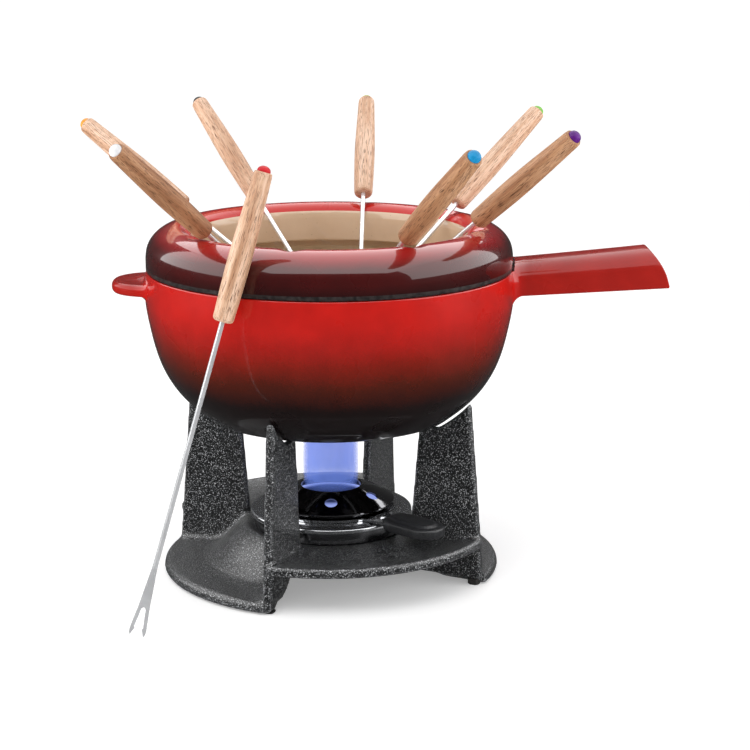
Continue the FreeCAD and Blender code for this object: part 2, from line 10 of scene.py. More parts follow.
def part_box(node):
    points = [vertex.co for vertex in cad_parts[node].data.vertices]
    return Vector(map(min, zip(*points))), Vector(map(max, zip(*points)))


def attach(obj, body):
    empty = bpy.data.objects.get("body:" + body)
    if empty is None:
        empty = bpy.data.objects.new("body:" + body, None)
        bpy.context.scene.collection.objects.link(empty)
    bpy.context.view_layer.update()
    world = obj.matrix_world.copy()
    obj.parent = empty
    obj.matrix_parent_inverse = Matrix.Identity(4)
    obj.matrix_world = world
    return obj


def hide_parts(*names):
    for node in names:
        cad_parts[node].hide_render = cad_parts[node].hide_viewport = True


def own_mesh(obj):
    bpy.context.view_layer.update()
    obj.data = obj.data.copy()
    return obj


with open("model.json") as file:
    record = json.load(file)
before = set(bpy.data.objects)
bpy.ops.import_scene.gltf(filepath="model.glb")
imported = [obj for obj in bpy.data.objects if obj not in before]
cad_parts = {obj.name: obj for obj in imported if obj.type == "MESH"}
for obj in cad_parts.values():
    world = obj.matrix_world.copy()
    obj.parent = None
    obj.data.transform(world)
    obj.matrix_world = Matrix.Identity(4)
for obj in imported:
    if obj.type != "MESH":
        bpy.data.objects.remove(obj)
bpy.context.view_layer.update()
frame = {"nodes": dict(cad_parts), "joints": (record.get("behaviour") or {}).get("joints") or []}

# Outlines are in millimetres in the row frame. Finishes, lamps and the camera use metres.
MM = 0.001
FINE = 256               # sides of a turned piece that mirrors its surroundings
ROUND = 192              # sides of the burner's turned pieces
COLOURS = ("blue", "purple", "green", "yellow", "black", "orange", "white", "red")

# Pot
POT_BELLY = ((78.0, 103.0), (93.8, 116.4), (106.9, 136.2), (114.4, 162.5), (117.0, 183.0),
             (116.0, 196.0))
POT_WALL = 4.0
POT_FOOT = (62.0, 71.0)            # radii of the foot ring
POT_FOOT_Z = 100.5
POT_BASE_Z = 102.6
POT_FLOOR_Z = 105.6
POT_EDGE_R = 112.0                 # inner radius of the rim's bare edge
POT_RIM_Z = 197.0
HANDLE_LENGTH = 97.5               # from the belly to its lower far corner
HANDLE_FOOT_END_X = 213.5
HANDLE_Z = (181.0, 202.0)          # its edges and its crest at the belly
HANDLE_RISE = (0.052, 0.081)       # how much these climb on the way out
HANDLE_HALF = 20.8                 # half its width at the belly
HANDLE_SPREAD = 0.0115
HANDLE_WALL = 5.0
HANDLE_FILLET = 6.0
HANDLE_FULLNESS = 0.80             # below 1 the arch is fuller than a half ellipse
EAR_TIP_X = -138.0
EAR_Z = (182.5, 190.0)
EAR_FILLET = 3.0

# Fork-rest ring
RING_Z = 197.3
RING_R = 116.0
RING_LIP_R = 86.0
RING_LIP_Z = 215.0                 # where the crest turns into the lip's inner side
RING_SEAM_Z = (200.2, 202.5)       # the black edge's top, and where the shoulder starts
RING_SEAT_R = 111.0
RING_SKIRT_Z = 192.4
RING_WALL = 3.6
NOTCHES = 8
NOTCH_AZIMUTH = -13.5
NOTCH_RADIUS = 15.0
NOTCH_SLOPE = 13.0                 # degrees that a notch rises outwards
NOTCH_FLOOR = (76.0, 218.3)        # a point on its lowest line

# Burner
CUP_R = 50.0
CUP_Z = (27.3, 37.3)
SAUCER_R = 52.5
SAUCER_TOP_Z = 39.7
SHEET = 1.2
DOME_R = 41.0
DOME_Z = 43.4
MOUTH_R = 19.6
MOUTH_Z = 54.0
DOME_HOLES = 6
DOME_HOLE_R = 4.0
DOME_HOLE_AT = (30.5, 49.4)
DOME_HOLE_TILT = 27.0
COLLAR_R = 35.6
COLLAR_TOP_Z = 47.2
ARM_AZIMUTH = -45.0
GRIP_START_R = 53.4
GRIP_LENGTH = 42.0
GRIP_WIDTH = 25.0
GRIP_Z = 37.7

# Forks, in their own frame: the handle starts at z 0 and goes up, the rod goes down
ROD_R = 1.5
ROD_REACH = 192.5
HEAD_LENGTH = 43.0
FORK_HANDLE = 89.5
CAP_R = 4.0
CAP_SEAT = 6.0                     # depth of the cap's pocket


# ---- outlines -------------------------------------------------------------------------------
def spline(points, steps):
    """Points along the natural cubic curve through the given ones."""
    knots = np.array(points, float)
    spans = np.linalg.norm(np.diff(knots, axis=0), axis=1)
    at = np.concatenate([[0.0], np.cumsum(spans)])
    size = len(knots)
    system = np.zeros((size, size))
    right = np.zeros_like(knots)
    system[0, 0] = system[-1, -1] = 1.0
    for i in range(1, size - 1):
        system[i, i - 1:i + 2] = spans[i - 1], 2 * (spans[i - 1] + spans[i]), spans[i]
        right[i] = 6 * ((knots[i + 1] - knots[i]) / spans[i]
                        - (knots[i] - knots[i - 1]) / spans[i - 1])
    bend = np.linalg.solve(system, right)
    places = np.linspace(0.0, at[-1], steps + 1)
    k = np.clip(np.searchsorted(at, places, side="right") - 1, 0, size - 2)
    u = (places - at[k])[:, None]
    span = spans[k][:, None]
    slope = (knots[k + 1] - knots[k]) / span - span * (2 * bend[k] + bend[k + 1]) / 6
    curve = knots[k] + u * slope + u ** 2 * bend[k] / 2
    return curve + u ** 3 * (bend[k + 1] - bend[k]) / (6 * span)


def beside(curve, distance):
    """The curve's points moved to its left by a distance."""
    along = np.gradient(np.array(curve, float), axis=0)
    along /= np.linalg.norm(along, axis=1)[:, None]
    return np.array(curve) + np.stack([-along[:, 1], along[:, 0]], 1) * distance


def loop_beside(loop, distance):
    """A closed loop's points moved to its left by a distance."""
    loop = np.array(loop)
    along = np.roll(loop, -1, 0) - np.roll(loop, 1, 0)
    along /= np.linalg.norm(along, axis=1)[:, None]
    return loop + np.stack([-along[:, 1], along[:, 0]], 1) * distance


def rounded(corners, steps=5):
    """An open outline of (x, z, radius) corners, with the corners turned into arcs."""
    points = []
    for i, (x, z, radius) in enumerate(corners):
        here = Vector((x, z))
        if radius == 0.0:
            points.append((x, z))
            continue
        before = (Vector(corners[i - 1][:2]) - here).normalized()
        after = (Vector(corners[i + 1][:2]) - here).normalized()
        half = before.angle(after) / 2
        centre = here + (before + after).normalized() * radius / math.sin(half)
        start = here + before * radius / math.tan(half) - centre
        end = here + after * radius / math.tan(half) - centre
        for k in range(steps + 1):
            points.append(tuple(centre + start.slerp(end, k / steps).normalized() * radius))
    return points


def resampled(points, count):
    """The same line as count points, evenly spaced."""
    line = np.array(points, float)
    at = np.concatenate([[0.0], np.cumsum(np.linalg.norm(np.diff(line, axis=0), axis=1))])
    places = np.linspace(0.0, at[-1], count)
    return np.stack([np.interp(places, at, line[:, i]) for i in range(line.shape[1])], 1)


class Outline:
    """An outline in the (radius, height) plane, drawn in runs that each have a material."""

    def __init__(self):
        self.points = []
        self.slots = []

    def run(self, points, slot=0):
        for point in points:
            point = (float(point[0]), float(point[1]))
            if self.points and math.dist(self.points[-1], point) < 1e-4:
                continue
            if self.points:
                self.slots.append(slot)
            self.points.append(point)
        return self


# ---- meshes ---------------------------------------------------------------------------------
MOST_FINISHES = 3                  # on one piece


def mesh_of(name, points, faces, slots=None):
    """A mesh from points in millimetres, with its faces turned outwards.

    Its empty slots let a boolean carry the faces' material numbers over.
    """
    mesh = bpy.data.meshes.new(name)
    mesh.from_pydata([tuple(p) for p in np.array(points, float) * MM], [], faces)
    for _ in range(MOST_FINISHES):
        mesh.materials.append(None)
    if slots is not None:
        mesh.polygons.foreach_set("material_index", slots)
    edit = bmesh.new()
    edit.from_mesh(mesh)
    bmesh.ops.remove_doubles(edit, verts=edit.verts, dist=1e-7)
    bmesh.ops.recalc_face_normals(edit, faces=edit.faces)
    edit.to_mesh(mesh)
    edit.free()
    return mesh


def turned(name, outline, sides=FINE):
    """The outline turned about the vertical axis. One that leaves the axis is a closed loop."""
    ring = np.array(outline.points)
    on_axis = ring[0, 0] < 1e-6 and ring[-1, 0] < 1e-6
    angles = np.arange(sides) * 2 * math.pi / sides
    points = [(r * math.cos(a), r * math.sin(a), z) for r, z in ring for a in angles]
    spans = len(ring) - 1 if on_axis else len(ring)
    faces, slots = [], []
    for i in range(spans):
        low, high = i * sides, (i + 1) % len(ring) * sides
        slot = outline.slots[min(i, len(outline.slots) - 1)]
        for k in range(sides):
            after = (k + 1) % sides
            face = (low + k, low + after, high + after, high + k)
            if ring[i, 0] < 1e-6:
                face = (low, high + after, high + k)
            elif ring[(i + 1) % len(ring), 0] < 1e-6:
                face = (low + k, low + after, high)
            faces.append(face)
            slots.append(slot)
    return mesh_of(name, points, faces, slots)


def lofted(name, rings):
    """A solid through closed rings of as many points each, with its ends filled."""
    count = len(rings[0])
    points = np.concatenate(rings)
    faces = []
    for i in range(len(rings) - 1):
        for k in range(count):
            after = (k + 1) % count
            faces.append((i * count + k, i * count + after,
                          (i + 1) * count + after, (i + 1) * count + k))
    faces.append(tuple(range(count)))
    faces.append(tuple(range(len(points) - count, len(points))))
    return mesh_of(name, points, faces)


def loose(mesh):
    """A bare object for work on a mesh."""
    thing = bpy.data.objects.new(mesh.name, mesh)
    bpy.context.scene.collection.objects.link(thing)
    return thing


def worked(mesh, kind, **settings):
    """The mesh after one modifier."""
    thing = loose(mesh)
    modifier = thing.modifiers.new("work", kind)
    for key, value in settings.items():
        setattr(modifier, key, value)
    bpy.context.view_layer.update()
    seen = thing.evaluated_get(bpy.context.evaluated_depsgraph_get())
    result = bpy.data.meshes.new_from_object(seen)
    result.name = mesh.name
    bpy.data.objects.remove(thing)
    return result


def combined(mesh, other, operation):
    """Union or difference of two closed meshes."""
    tool = loose(other)
    result = worked(mesh, "BOOLEAN", operation=operation, object=tool, solver="EXACT")
    bpy.data.objects.remove(tool)
    return result


def moved(mesh, matrix):
    copy = mesh.copy()
    copy.transform(matrix)
    return copy


def piece(name, mesh, body, materials, nodes=(), sharp=40.0):
    """One finished piece of the object, which rides on a body and stands for CAD nodes."""
    mesh.name = name
    chosen = np.zeros(len(mesh.polygons), np.int32)
    mesh.polygons.foreach_get("material_index", chosen)
    mesh.materials.clear()
    for material in materials:
        mesh.materials.append(material)
    mesh.polygons.foreach_set("material_index", np.minimum(chosen, len(materials) - 1))
    mesh.polygons.foreach_set("use_smooth", [True] * len(mesh.polygons))
    mesh.set_sharp_from_angle(angle=math.radians(sharp))
    thing = bpy.data.objects.new(name, mesh)
    bpy.context.scene.collection.objects.link(thing)
    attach(thing, body)
    if nodes:
        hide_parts(*nodes)
    return thing


# ---- finishes -------------------------------------------------------------------------------
class Finish:
    """A material's node tree, with short calls for the patterns that finishes share."""

    def __init__(self, name, values):
        self.material = bpy.data.materials.new(name)
        self.material.use_nodes = True
        self.nodes = self.material.node_tree.nodes
        self.links = self.material.node_tree.links
        self.shader = self.nodes["Principled BSDF"]
        for socket, value in values.items():
            self.shader.inputs[socket].default_value = value
        self.place = self.add("ShaderNodeTexCoord").outputs["Object"]

    def add(self, kind, settings=None, sockets=None):
        made = self.nodes.new(kind)
        for key, value in (settings or {}).items():
            setattr(made, key, value)
        for key, value in (sockets or {}).items():
            self.feed(made.inputs[key], value)
        return made

    def feed(self, socket, value):
        if isinstance(value, bpy.types.NodeSocket):
            self.links.new(value, socket)
        else:
            socket.default_value = value

    def math(self, operation, first, second):
        made = self.add("ShaderNodeMath", {"operation": operation}, {0: first, 1: second})
        return made.outputs[0]

    def stretched(self, along, place=None):
        """The place scaled along its height, which stretches a pattern that way."""
        made = self.add("ShaderNodeMapping", None,
                        {"Vector": self.place if place is None else place,
                         "Scale": (1.0, 1.0, along)})
        return made.outputs[0]

    def noise(self, scale, detail=2.0, place=None, roughness=0.5):
        made = self.add("ShaderNodeTexNoise", None,
                        {"Vector": self.place if place is None else place, "Scale": scale,
                         "Detail": detail, "Roughness": roughness})
        return made.outputs["Fac"]

    def cells(self, scale):
        made = self.add("ShaderNodeTexVoronoi", None, {"Vector": self.place, "Scale": scale})
        return made.outputs["Distance"]

    def ramp(self, fac, stops):
        made = self.add("ShaderNodeValToRGB", None, {0: fac})
        band = made.color_ramp
        while len(band.elements) < len(stops):
            band.elements.new(0.5)
        for element, (at, colour) in zip(band.elements, stops):
            element.position = at
            element.color = (*colour, 1.0)
        return made.outputs[0]

    def between(self, value, low, high, to_low=0.0, to_high=1.0):
        made = self.add("ShaderNodeMapRange", None,
                        {"Value": value, "From Min": low, "From Max": high,
                         "To Min": to_low, "To Max": to_high})
        return made.outputs[0]

    def mixed(self, fac, first, second, blend="MIX"):
        made = self.add("ShaderNodeMix", {"data_type": "RGBA", "blend_type": blend})
        self.feed(made.inputs[0], fac)
        for socket, value in ((made.inputs[6], first), (made.inputs[7], second)):
            self.feed(socket, (*value, 1.0) if isinstance(value, tuple) else value)
        return made.outputs[2]

    def height(self):
        """The height of a point, in metres."""
        return self.add("ShaderNodeSeparateXYZ", None, {0: self.place}).outputs[2]

    def radius(self):
        """A point's distance from the set's upright axis, in metres."""
        flat = self.add("ShaderNodeVectorMath", {"operation": "MULTIPLY"},
                        {0: self.place, 1: (1.0, 1.0, 0.0)}).outputs[0]
        return self.add("ShaderNodeVectorMath", {"operation": "LENGTH"}, {0: flat}).outputs[1]

    def set(self, **sockets):
        for key, value in sockets.items():
            self.feed(self.shader.inputs[key.replace("_", " ")], value)
        return self.material

    def relief(self, height, distance, strength=1.0, layer="Normal"):
        made = self.add("ShaderNodeBump", None,
                        {"Height": height, "Distance": distance, "Strength": strength})
        self.links.new(made.outputs[0], self.shader.inputs[layer])


def enamel(name):
    """Glossy glass coat. Its slight waviness comes from the firing."""
    paint = Finish(name, {"Coat Weight": 1.0, "Coat Roughness": 0.015, "Coat IOR": 1.50,
                          "Specular IOR Level": 0.12})
    paint.relief(paint.noise(40.0, 1.0), 0.0002, 0.30)
    patch = paint.noise(28.0, 3.0)
    paint.set(Roughness=paint.between(patch, 0.3, 0.7, 0.24, 0.34))
    return paint


def pot_outside():
    """Red that was sprayed over black: it thins out downwards in a fine speckle."""
    paint = enamel("enamel_red_to_black")
    drift = paint.between(paint.noise(22.0, 2.0), 0.0, 1.0, -0.004, 0.004)
    speckle = paint.between(paint.noise(1300.0, 1.0), 0.25, 0.75, -0.0035, 0.0035)
    level = paint.math("ADD", paint.math("ADD", paint.height(), drift), speckle)
    share = paint.between(level, 0.100, 0.200)
    colour = paint.ramp(share, [
        (0.00, (0.005, 0.003, 0.003)), (0.28, (0.008, 0.004, 0.004)),
        (0.44, (0.065, 0.008, 0.003)), (0.57, (0.180, 0.008, 0.003)),
        (0.69, (0.320, 0.007, 0.004)), (0.80, (0.430, 0.007, 0.004)),
        (1.00, (0.480, 0.007, 0.004))])
    grip = paint.between(paint.radius(), 0.118, 0.126)
    colour = paint.mixed(grip, colour, (0.330, 0.010, 0.006))
    tone = paint.between(paint.noise(70.0, 4.0), 0.3, 0.7, 0.90, 1.06)
    grey = paint.add("ShaderNodeCombineColor", None, {0: tone, 1: tone, 2: tone}).outputs[0]
    return paint.set(Base_Color=paint.mixed(1.0, colour, grey, "MULTIPLY"),
                     Coat_Weight=paint.between(grip, 0.0, 1.0, 1.0, 0.32))


def beige_inside(name, shades):
    """Beige cooking enamel with faint clouds and a few pinholes."""
    paint = enamel(name)
    clouds = paint.ramp(paint.noise(34.0, 5.0), list(zip((0.30, 0.55, 0.75), shades)))
    pinholes = paint.between(paint.cells(260.0), 0.035, 0.06)
    return paint.set(Base_Color=paint.mixed(pinholes, (0.20, 0.12, 0.06), clouds))


def ring_outside():
    """Burgundy that runs thin and bright over the lip and dark towards the seam."""
    paint = enamel("enamel_burgundy")
    drift = paint.between(paint.noise(30.0, 2.0), 0.0, 1.0, -0.0022, 0.0022)
    reach = paint.math("ADD", paint.radius(), drift)
    across = paint.ramp(paint.between(reach, 0.085, 0.117), [
        (0.00, (0.520, 0.012, 0.008)), (0.36, (0.560, 0.012, 0.008)),
        (0.48, (0.420, 0.008, 0.010)), (0.72, (0.270, 0.006, 0.008)),
        (0.88, (0.070, 0.004, 0.004)), (1.00, (0.034, 0.003, 0.003))])
    low = paint.between(paint.height(), 0.1975, 0.2060)
    return paint.set(Base_Color=paint.mixed(low, (0.012, 0.003, 0.003), across),
                     Coat_Weight=paint.between(paint.radius(), 0.089, 0.096, 0.35, 1.0))


def black_rim():
    """The bare edge, which is dipped in a thin dull black."""
    paint = Finish("enamel_black_edge", {"Specular IOR Level": 0.4})
    wear = paint.noise(420.0, 4.0)
    paint.relief(wear, 0.0002, 0.5)
    return paint.set(Base_Color=paint.ramp(wear, [(0.35, (0.010, 0.008, 0.008)),
                                                  (0.72, (0.040, 0.030, 0.028))]),
                     Roughness=paint.between(wear, 0.3, 0.7, 0.30, 0.55))


def cast_iron():
    """Sand-cast surface under a matte black coat: coarse grains, with painted glints on their
    tops and a painted highlight along the outer edges.
    """
    paint = Finish("cast_black", {"Specular IOR Level": 0.35, "Coat Weight": 0.8,
                                  "Coat Roughness": 0.28, "Coat IOR": 1.6})
    grains = paint.noise(1350.0, 1.0, roughness=0.6)
    dents = paint.cells(620.0)
    swell = paint.noise(150.0, 3.0)
    height = paint.math("ADD", paint.math("MULTIPLY", grains, 0.8),
                        paint.math("MULTIPLY", dents, 0.35))
    height = paint.math("ADD", height, paint.math("MULTIPLY", swell, 0.5))
    paint.relief(height, 0.0010, 0.9)
    paint.relief(height, 0.0003, 0.6, "Coat Normal")
    # Black coat with painted glints: the grain tops are lightened to stand in for sparkle from
    # the lamps.
    coat_and_glints = paint.ramp(grains, [(0.42, (0.001, 0.001, 0.0015)), (0.54, (0.003, 0.0035, 0.004)),
                               (0.60, (0.060, 0.063, 0.068)), (0.67, (0.480, 0.490, 0.500))])
    # Painted highlight along the convex edges, on the raised grains only.
    bend = paint.add("ShaderNodeNewGeometry").outputs["Pointiness"]
    edge_highlight = paint.between(bend, 0.515, 0.575, 0.0, 0.75)
    edge_highlight = paint.math("MULTIPLY", edge_highlight, paint.between(grains, 0.38, 0.56))
    return paint.set(Base_Color=paint.mixed(edge_highlight, coat_and_glints, (0.42, 0.43, 0.45)),
                     Roughness=paint.between(grains, 0.35, 0.70, 0.50, 0.24))


def rubber():
    paint = Finish("glide_rubber", {"Specular IOR Level": 0.3})
    dust = paint.noise(600.0, 4.0)
    paint.relief(dust, 0.0002, 0.4)
    return paint.set(Base_Color=paint.ramp(dust, [(0.3, (0.012, 0.012, 0.012)),
                                                  (0.8, (0.045, 0.043, 0.040))]),
                     Roughness=paint.between(dust, 0.3, 0.7, 0.65, 0.85))


def chrome(name, colour, smear, scratches, metallic=1.0):
    """Plated or polished metal with finger smears and hairline scratches."""
    paint = Finish(name, {"Metallic": metallic})
    clouds = paint.noise(45.0, 4.0)
    lines = paint.noise(900.0, 2.0, paint.stretched(0.04))
    rough = paint.math("ADD", paint.between(clouds, 0.35, 0.75, smear[0], smear[1]),
                       paint.between(lines, 0.45, 0.75, 0.0, scratches))
    dull = tuple(part * 0.80 for part in colour)
    paint.relief(lines, 0.00003, 0.3)
    return paint.set(Base_Color=paint.mixed(paint.between(clouds, 0.4, 0.8), colour, dull),
                     Roughness=rough)


def fuel_gel():
    paint = Finish("fuel_gel", {"Coat Weight": 0.6, "Coat Roughness": 0.1})
    lumps = paint.noise(110.0, 4.0)
    paint.relief(lumps, 0.001, 0.7)
    return paint.set(Base_Color=paint.ramp(lumps, [(0.3, (0.030, 0.060, 0.160)),
                                                   (0.7, (0.090, 0.160, 0.380))]),
                     Roughness=paint.between(lumps, 0.3, 0.7, 0.25, 0.45))


def grip_plastic():
    """Spark-eroded black moulding."""
    paint = Finish("grip_black", {"Specular IOR Level": 0.5})
    grain = paint.noise(1700.0, 2.0)
    paint.relief(grain, 0.00016, 0.6)
    shine = paint.noise(60.0, 2.0)
    return paint.set(Base_Color=paint.ramp(grain, [(0.35, (0.010, 0.0105, 0.012)),
                                                   (0.75, (0.036, 0.037, 0.040))]),
                     Roughness=paint.between(shine, 0.3, 0.7, 0.34, 0.46))


def hardwood(name, shades, dark):
    """Oiled light hardwood: soft streaks, tight figure and short dark pores along the grain.

    A fork's pieces store their own place in the board as the attribute "grain".
    """
    paint = Finish(name, {"Specular IOR Level": 0.35})
    board = paint.add("ShaderNodeAttribute", {"attribute_name": "grain"}).outputs["Vector"]
    streaks = paint.noise(260.0, 3.0, paint.stretched(0.055, board))
    bands = paint.noise(95.0, 2.0, paint.stretched(0.12, board))
    figure = paint.math("ADD", paint.math("MULTIPLY", streaks, 0.65),
                        paint.math("MULTIPLY", bands, 0.35))
    tone = paint.ramp(figure, list(zip((0.34, 0.46, 0.56, 0.68), shades)))
    fibres = paint.noise(2400.0, 1.0, paint.stretched(0.022, board))
    fibres = paint.between(fibres, 0.36, 0.50, 0.50, 1.0)
    pores = paint.noise(4200.0, 0.0, paint.stretched(0.035, board))
    clusters = paint.noise(150.0, 1.0, paint.stretched(0.2, board))
    clusters = paint.between(clusters, 0.35, 0.65, 0.03, -0.03)
    share = paint.between(paint.math("ADD", pores, clusters), 0.300, 0.360)
    plain = paint.mixed(fibres, tuple(part * 3.0 for part in dark), tone)
    wood = paint.mixed(share, dark, plain)
    paint.relief(paint.math("MULTIPLY", share, fibres), 0.00015, 0.5)
    return paint.set(Base_Color=wood, Roughness=paint.between(streaks, 0.3, 0.7, 0.62, 0.46))


def cap_plastic(colour, rgb):
    paint = Finish(f"cap_{colour}", {"Specular IOR Level": 0.18})
    flow = paint.noise(240.0, 3.0)
    deep = tuple(part * 0.78 for part in rgb)
    paint.relief(paint.noise(500.0, 2.0), 0.00008, 0.4)
    return paint.set(Base_Color=paint.mixed(paint.between(flow, 0.35, 0.65), deep, rgb),
                     Roughness=paint.between(flow, 0.3, 0.7, 0.22, 0.34))


def flame_gas():
    """Thin blue flame: denser at its foot, with edges that fade."""
    paint = Finish("flame_gas", {"Roughness": 1.0, "Specular IOR Level": 0.0,
                                 "Emission Color": (0.16, 0.24, 0.70, 1.0),
                                 "Emission Strength": 0.48})
    facing = paint.add("ShaderNodeLayerWeight", None, {"Blend": 0.5}).outputs["Facing"]
    body = paint.between(facing, 0.40, 1.0, 0.72, 0.0)
    body = paint.math("MULTIPLY", body, paint.between(paint.height(), 0.053, 0.061, 0.22, 1.0))
    drift = paint.between(paint.noise(70.0, 2.0, paint.stretched(0.3)), 0.3, 0.7, 0.85, 1.1)
    colour = paint.ramp(paint.between(paint.height(), 0.052, 0.100), [
        (0.0, (0.06, 0.12, 0.45)), (0.35, (0.12, 0.20, 0.60)), (1.0, (0.18, 0.24, 0.65))])
    return paint.set(Base_Color=colour, Alpha=paint.math("MULTIPLY", body, drift))


def flame_root():
    """The blue glow under the dome, bright beside the holes and dark below the mouth."""
    paint = Finish("flame_root", {"Roughness": 0.8, "Specular IOR Level": 0.1,
                                  "Emission Color": (0.36, 0.45, 0.95, 1.0)})
    glow = paint.between(paint.radius(), 0.019, 0.025, 0.015, 0.80)
    flicker = paint.between(paint.noise(160.0, 2.0), 0.3, 0.7, 0.85, 1.1)
    return paint.set(Base_Color=paint.ramp(paint.between(paint.radius(), 0.016, 0.026), [
        (0.0, (0.012, 0.030, 0.090)), (1.0, (0.30, 0.38, 0.80))]),
        Emission_Strength=paint.math("MULTIPLY", glow, flicker))


def tabletop():
    paint = Finish("floor_pale", {"Specular IOR Level": 0.1,
                                  "Emission Color": (1.0, 1.0, 1.0, 1.0)})
    tone = paint.noise(3.0, 2.0)
    return paint.set(Emission_Strength=paint.between(paint.radius(), 0.8, 3.0, 0.27, 0.40),
                     Base_Color=paint.ramp(tone, [(0.3, (0.86, 0.86, 0.86)),
                                                  (0.7, (0.89, 0.89, 0.89))]),
                     Roughness=paint.between(tone, 0.3, 0.7, 0.7, 0.8))


RED_ENAMEL = pot_outside()
# The pot's inside takes a lighter copy of the ring's beige enamel: painted light that makes up
# for the little light reaching deep inside the pot.
BEIGE_POT_PAINTED_LIGHT = beige_inside("enamel_beige_pot_painted_light", (
    (0.680, 0.540, 0.370), (0.740, 0.600, 0.430), (0.780, 0.650, 0.480)))
BEIGE_RING = beige_inside("enamel_beige_ring", (
    (0.640, 0.450, 0.300), (0.710, 0.515, 0.355), (0.750, 0.560, 0.395)))
BURGUNDY_ENAMEL = ring_outside()
BLACK_EDGE = black_rim()
CAST_IRON = cast_iron()
BRIGHT_METAL = chrome("burner_chrome", (0.78, 0.79, 0.81), (0.04, 0.11), 0.05)
SATIN_METAL = chrome("burner_satin", (0.60, 0.61, 0.63), (0.10, 0.18), 0.06, 0.95)
BLACK_CHROME = chrome("burner_black_chrome", (0.20, 0.20, 0.21), (0.05, 0.10), 0.04)
DARK_METAL = chrome("burner_blacked", (0.20, 0.20, 0.21), (0.12, 0.20), 0.08)
TINPLATE = chrome("tinplate", (0.56, 0.56, 0.57), (0.26, 0.40), 0.10)
STAINLESS = chrome("fork_stainless", (0.80, 0.81, 0.83), (0.16, 0.24), 0.08, 0.50)
GRIP = grip_plastic()
BEECH = hardwood("beech", ((0.440, 0.235, 0.130), (0.640, 0.400, 0.260),
                           (0.750, 0.510, 0.360), (0.820, 0.600, 0.460)),
                 (0.150, 0.062, 0.028))
# A darker copy of the same beech: painted shade for the forks that lean towards the camera and
# show their shaded underside.
SHADED_BEECH = hardwood("beech_painted_shade", ((0.260, 0.110, 0.045), (0.380, 0.185, 0.085),
                                       (0.470, 0.250, 0.125), (0.560, 0.320, 0.180)),
                       (0.085, 0.030, 0.012))
SHADED_FORKS = ("blue", "purple", "white")
CAP_RGB = {
    "blue": (0.010, 0.270, 0.560), "purple": (0.110, 0.014, 0.210),
    "green": (0.230, 0.560, 0.090), "yellow": (0.560, 0.620, 0.200),
    "black": (0.010, 0.011, 0.012), "orange": (0.900, 0.350, 0.040),
    "white": (0.800, 0.800, 0.820), "red": (0.580, 0.012, 0.020)}


# ---- pot ------------------------------------------------------------------------------------
def belly_radius(z):
    curve = spline(POT_BELLY, 60)
    return np.interp(z, curve[:, 1], curve[:, 0])


def pot_skin():
    """The outside as a filled solid. Its flat top is the rim's edge."""
    inner, outer = POT_FOOT
    outline = Outline()
    outline.run(rounded([(0, POT_BASE_Z, 0), (inner, POT_BASE_Z, 0.8), (inner, POT_FOOT_Z, 0.9),
                         (outer, POT_FOOT_Z, 1.1), (outer, POT_BASE_Z, 0.7),
                         (76.6, POT_BASE_Z, 0)]))
    outline.run(spline(POT_BELLY, 56))
    outline.run(rounded([(*POT_BELLY[-1], 0), (115.9, POT_RIM_Z, 0.8),
                         (POT_EDGE_R, POT_RIM_Z, 0)]))
    outline.run([(POT_EDGE_R, POT_RIM_Z), (0, POT_RIM_Z)], 2)
    return turned("pot_skin", outline)


def pot_space():
    """The space inside, which opens a little at the rim."""
    wall = beside(spline(POT_BELLY, 8), POT_WALL)
    floor_turn = [(62.0, POT_FLOOR_Z), (72.0, 106.4), (wall[0][0] + 2.0, wall[0][1] + 2.0)]
    top_r = wall[-1][0]
    outline = Outline()
    outline.run([(0, POT_FLOOR_Z), (40.0, POT_FLOOR_Z)], 1)
    outline.run(spline(floor_turn + [tuple(p) for p in wall[1:]], 56), 1)
    outline.run(rounded([(*wall[-1], 0), (top_r + 0.1, POT_RIM_Z, 0.6),
                         (top_r + 1.6, POT_RIM_Z + 0.02, 0)]), 1)
    outline.run([(top_r + 1.6, POT_RIM_Z + 6.0), (0, POT_RIM_Z + 6.0)], 1)
    return turned("pot_space", outline)


def handle_section(reach):
    """(y, z) of the half pipe at a distance from the belly: its outer and its inner side."""
    flare = 0.0
    if reach < HANDLE_FILLET:
        into = min(HANDLE_FILLET - reach, HANDLE_FILLET)
        flare = HANDLE_FILLET - math.sqrt(HANDLE_FILLET ** 2 - into ** 2)
    foot = HANDLE_Z[0] + reach * HANDLE_RISE[0] - flare
    crest = HANDLE_Z[1] + reach * HANDLE_RISE[1]
    half = HANDLE_HALF + reach * HANDLE_SPREAD + flare
    channel = min(max((reach - 4.0) / 9.0, 0.0), 1.0)
    open_share = math.sqrt(1.0 - (1.0 - channel) ** 2)

    def full(share):
        return math.copysign(abs(share) ** HANDLE_FULLNESS, share)

    def arch(half_width, top, edge):
        spring = foot + 0.34 * (top - foot)
        crown = [(half_width * full(math.cos(t)), spring + (top - spring) * full(math.sin(t)))
                 for t in np.linspace(0.0, math.pi, 41)]
        lip = rounded([(half - 2.5, foot, 0), (half_width, foot, edge),
                       (half_width, spring, 0)])
        other = [(-y, z) for y, z in lip[::-1]]
        return np.array(lip[:-1] + crown + other[1:])

    outer = arch(half, crest, 1.6)
    inner = arch(half - HANDLE_WALL, crest - HANDLE_WALL, 1.3)
    flat_y = np.linspace(half - 2.5, 2.5 - half, len(inner))
    flat = np.stack([flat_y, np.full(len(inner), foot)], 1)
    return outer, flat + (inner - flat) * open_share


